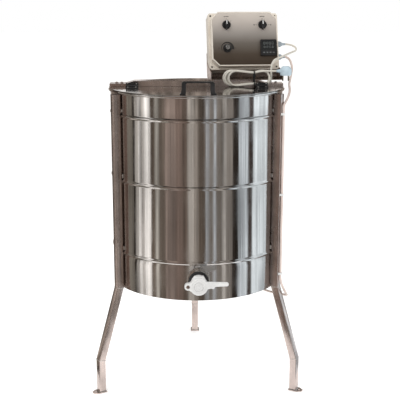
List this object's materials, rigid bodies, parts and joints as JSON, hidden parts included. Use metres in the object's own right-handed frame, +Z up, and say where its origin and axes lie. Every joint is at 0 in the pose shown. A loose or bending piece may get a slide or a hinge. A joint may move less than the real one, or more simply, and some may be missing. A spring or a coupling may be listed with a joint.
{
  "type": "honey extractor",
  "caption": "Electric honey extractor: a steel drum on splayed legs with a hinged half lid, a spinning cage of frame baskets, a belt drive, a honey gate and a leaning control box.",
  "frame": {"origin": "centre of the footprint, on the floor, at the middle of the bounding box without the mains lead", "axes": "+Z up along the drum's axis; -Y towards the honey gate and the control panel; +X to the right seen from the front"},
  "size_m": [0.7404, 0.8038, 1.3043],
  "materials": {
    "polished_steel": "mirror polished stainless steel",
    "satin_steel": "brushed stainless steel",
    "black_plastic": "satin moulded plastic",
    "white_plastic": "satin moulded food-grade plastic",
    "box_plastic": "fine-grained moulded plastic",
    "panel_metal": "satin anodised face plate",
    "gland_grey": "moulded nylon",
    "cord_plastic": "smooth PVC sheath",
    "plug_plastic": "moulded PVC",
    "rubber": "matt",
    "motor_paint": "satin enamel"
  },
  "bodies": {
    "frame": {"drum_wall": "polished_steel", "drum_floor": "polished_steel", "gate_ferrule": "polished_steel", "deck_plate": "polished_steel", "rear_cover": "polished_steel", "leg_left": "satin_steel", "leg_right": "satin_steel", "leg_rear": "satin_steel", "foot_left": "satin_steel", "foot_right": "satin_steel", "foot_rear": "satin_steel", "crossbar": "satin_steel", "upper_bearing": "satin_steel", "drive_bridge": "satin_steel", "control_bracket": "satin_steel", "gate_pivot_screw": "satin_steel", "gate_gasket": "rubber", "drive_belt": "rubber", "gate_body": "white_plastic", "lead_clip_1": "white_plastic", "lead_clip_2": "white_plastic", "lead_clip_3": "white_plastic", "hinge_leaf_fixed_left": "black_plastic", "hinge_leaf_fixed_right": "black_plastic", "display_housing": "black_plastic", "hank_tie": "black_plastic", "box_base": "box_plastic", "box_lid": "box_plastic", "panel_plate": "panel_metal", "mains_gland": "gland_grey", "motor_gland": "gland_grey", "mains_lead": "cord_plastic", "lead_hank": "cord_plastic", "plug_lead": "cord_plastic", "motor_lead": "cord_plastic", "mains_plug": "plug_plastic", "lower_bearing": "motor_paint", "motor_body": "motor_paint"},
    "lid": {"front_lid": "polished_steel", "lid_handle": "black_plastic", "hinge_leaf_lid_left": "black_plastic", "hinge_leaf_lid_right": "black_plastic"},
    "cage": {"cage_shaft": "satin_steel", "cage_top": "polished_steel", "cage_bottom": "polished_steel", "basket_1": "polished_steel", "basket_2": "polished_steel", "basket_3": "polished_steel", "basket_4": "polished_steel", "drive_pulley": "motor_paint"},
    "motor_rotor": {"motor_shaft": "satin_steel", "motor_pulley": "motor_paint"},
    "blade": {"gate_blade": "white_plastic"},
    "left_selector": {"selector_left": "black_plastic"},
    "right_selector": {"selector_right": "black_plastic"},
    "speed_dial": {"speed_knob": "black_plastic"},
    "key_1": {"display_key_1": "rubber"},
    "key_2": {"display_key_2": "rubber"},
    "key_3": {"display_key_3": "rubber"},
    "key_4": {"display_key_4": "rubber"}
  },
  "joints": [
    {"name": "lid_hinge", "type": "hinge", "parent": "frame", "child": "lid", "pos_m": [0, -0.0731, 1.0573], "axis": [-1, 0, 0], "range_deg": [0, 95]},
    {"name": "cage_spin", "type": "hinge", "parent": "frame", "child": "cage", "pos_m": [0, -0.0221, 0.7], "axis": [0, 0, 1], "continuous": true},
    {"name": "motor_spin", "type": "hinge", "parent": "frame", "child": "motor_rotor", "pos_m": [0, 0.1429, 0.4], "axis": [0, 0, 1], "continuous": true},
    {"name": "gate_pivot", "type": "hinge", "parent": "frame", "child": "blade", "pos_m": [-0.035, -0.3939, 0.443], "axis": [0, -1, 0], "range_deg": [0, 85]},
    {"name": "left_selector_turn", "type": "hinge", "parent": "frame", "child": "left_selector", "pos_m": [0.1065, 0.0476, 1.2591], "axis": [0.0829, -0.9474, 0.309], "range_deg": [-60, 0]},
    {"name": "right_selector_turn", "type": "hinge", "parent": "frame", "child": "right_selector", "pos_m": [0.234, 0.0587, 1.2591], "axis": [0.0829, -0.9474, 0.309], "range_deg": [-90, 90]},
    {"name": "speed_turn", "type": "hinge", "parent": "frame", "child": "speed_dial", "pos_m": [0.1088, 0.0219, 1.1799], "axis": [0.0829, -0.9474, 0.309], "range_deg": [-270, 0]},
    {"name": "key_1_press", "type": "slide", "parent": "frame", "child": "key_1", "axis": [-0.0829, 0.9474, -0.309], "range_m": [0, 0.0008], "stiffness_N_per_m": 150},
    {"name": "key_2_press", "type": "slide", "parent": "frame", "child": "key_2", "axis": [-0.0829, 0.9474, -0.309], "range_m": [0, 0.0008], "stiffness_N_per_m": 150},
    {"name": "key_3_press", "type": "slide", "parent": "frame", "child": "key_3", "axis": [-0.0829, 0.9474, -0.309], "range_m": [0, 0.0008], "stiffness_N_per_m": 150},
    {"name": "key_4_press", "type": "slide", "parent": "frame", "child": "key_4", "axis": [-0.0829, 0.9474, -0.309], "range_m": [0, 0.0008], "stiffness_N_per_m": 150}
  ],
  "couplings": [
    {"joint": "motor_spin", "follows": "cage_spin", "ratio": 4}
  ]
}
